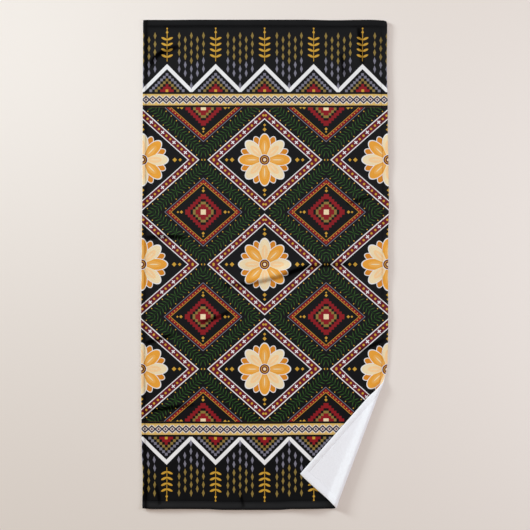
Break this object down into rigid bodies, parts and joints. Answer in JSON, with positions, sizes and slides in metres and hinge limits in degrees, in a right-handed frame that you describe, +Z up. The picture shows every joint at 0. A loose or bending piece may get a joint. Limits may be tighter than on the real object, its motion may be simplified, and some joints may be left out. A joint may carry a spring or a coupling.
{
  "type": "bath towel",
  "caption": "Rectangular printed bath towel lying flat, with turned hems and one lower corner folded over to show its plain terry back.",
  "frame": {"origin": "on the surface the towel lies on, under the middle of its outline", "axes": "+Z up from the surface, +Y along the towel's length towards the end with both corners flat, +X across it towards the side with the folded corner"},
  "size_m": [0.7676, 1.5245, 0.0206],
  "materials": {
    "towel_cloth": "cut-pile front printed on black in cream, orange, maroon, green and gold, white looped terry back",
    "hem_thread": "white lockstitch thread on the back, black on the front"
  },
  "bodies": {
    "root": {"towel": "towel_cloth"}
  },
  "joints": []
}
